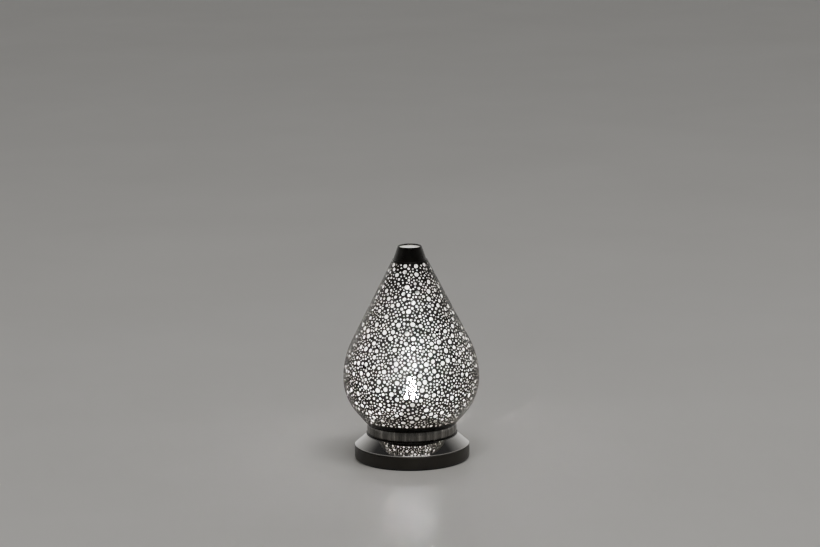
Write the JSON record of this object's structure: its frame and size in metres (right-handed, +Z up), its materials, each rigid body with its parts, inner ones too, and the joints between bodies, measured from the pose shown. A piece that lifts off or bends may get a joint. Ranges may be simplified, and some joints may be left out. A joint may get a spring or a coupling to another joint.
{
  "type": "table lantern",
  "caption": "Small table lantern with a pierced teardrop metal shade and open neck cap that lifts off a round plinth holding an E14 bulb.",
  "frame": {"origin": "centre of the underside, on the table", "axes": "+Z up along the lantern's axis, +Y to the back where the cord enters, +X to the right seen from the front"},
  "size_m": [0.1486, 0.1486, 0.236],
  "materials": {
    "shade_metal": "dark patinated metal, thin, with a soft sheen",
    "cap_metal": "near-black satin metal",
    "collar_metal": "polished, with fine upright polishing marks",
    "gloss_metal": "black gloss",
    "satin_metal": "dark satin",
    "felt": "pressed felt",
    "zinc_steel": "bright zinc",
    "black_steel": "black lacquered steel",
    "nickel": "nickel plated",
    "iron": "as cast",
    "rubber": "matt",
    "bakelite": "white, moulded",
    "porcelain": "glazed",
    "brass": "bright",
    "nylon": "moulded",
    "brown_insulation": "PVC",
    "blue_insulation": "PVC",
    "green_yellow_insulation": "PVC",
    "opal_dome": "opal, lit from inside",
    "white_ceramic": "matt white",
    "board": "circuit board",
    "black_glass": "vitreous black",
    "solder": "dull",
    "phosphor": "phosphor over an LED chip, lit"
  },
  "bodies": {
    "base": {"felt_pad": "felt", "bottom_plate": "black_steel", "ballast_ring": "iron", "plate_screws": "zinc_steel", "plate_posts": "zinc_steel", "plinth_band": "satin_metal", "plinth_top": "gloss_metal", "cord_grommet": "rubber", "collar_bead": "collar_metal", "collar_ring": "collar_metal", "holder_bridge": "zinc_steel", "bridge_screws": "zinc_steel", "bridge_nuts": "zinc_steel", "earth_tag": "zinc_steel", "threaded_nipple": "brass", "nipple_washer": "zinc_steel", "nipple_locknut": "brass", "holder_cap": "bakelite", "holder_insulator": "porcelain", "holder_terminal_screws": "brass", "holder_skirt": "bakelite", "screw_shell": "brass", "centre_contact": "brass", "terminal_block": "nylon", "terminal_inserts": "brass", "terminal_screws": "zinc_steel", "terminal_block_screw": "zinc_steel", "live_lead": "brown_insulation", "neutral_lead": "blue_insulation", "earth_lead": "green_yellow_insulation"},
    "shade": {"shade_rim": "cap_metal", "shade_foot": "shade_metal", "shade_belly": "shade_metal", "shade_shoulder": "shade_metal", "shade_cone": "shade_metal", "neck_ring": "cap_metal", "neck_cap": "cap_metal"},
    "bulb_carrier": {"contact_tip": "solder"},
    "bulb": {"bulb_insulator": "black_glass", "bulb_cap": "nickel", "bulb_body": "white_ceramic", "bulb_dome": "opal_dome", "led_core": "white_ceramic", "led_chips": "phosphor", "driver_board": "board"}
  },
  "joints": [
    {"name": "shade_lift", "type": "slide", "parent": "base", "child": "shade", "axis": [0, 0, 1], "range_m": [0, 0.1]},
    {"name": "bulb_turn", "type": "hinge", "parent": "bulb_carrier", "child": "bulb", "pos_m": [0, 0, 0.055], "axis": [0, 0, 1], "range_deg": [0, 1440]},
    {"name": "bulb_rise", "type": "slide", "parent": "base", "child": "bulb_carrier", "axis": [0, 0, 1], "range_m": [0, 0.0113]}
  ],
  "couplings": [
    {"joint": "bulb_rise", "follows": "bulb_turn", "m_per_rad": 0.00044913}
  ]
}
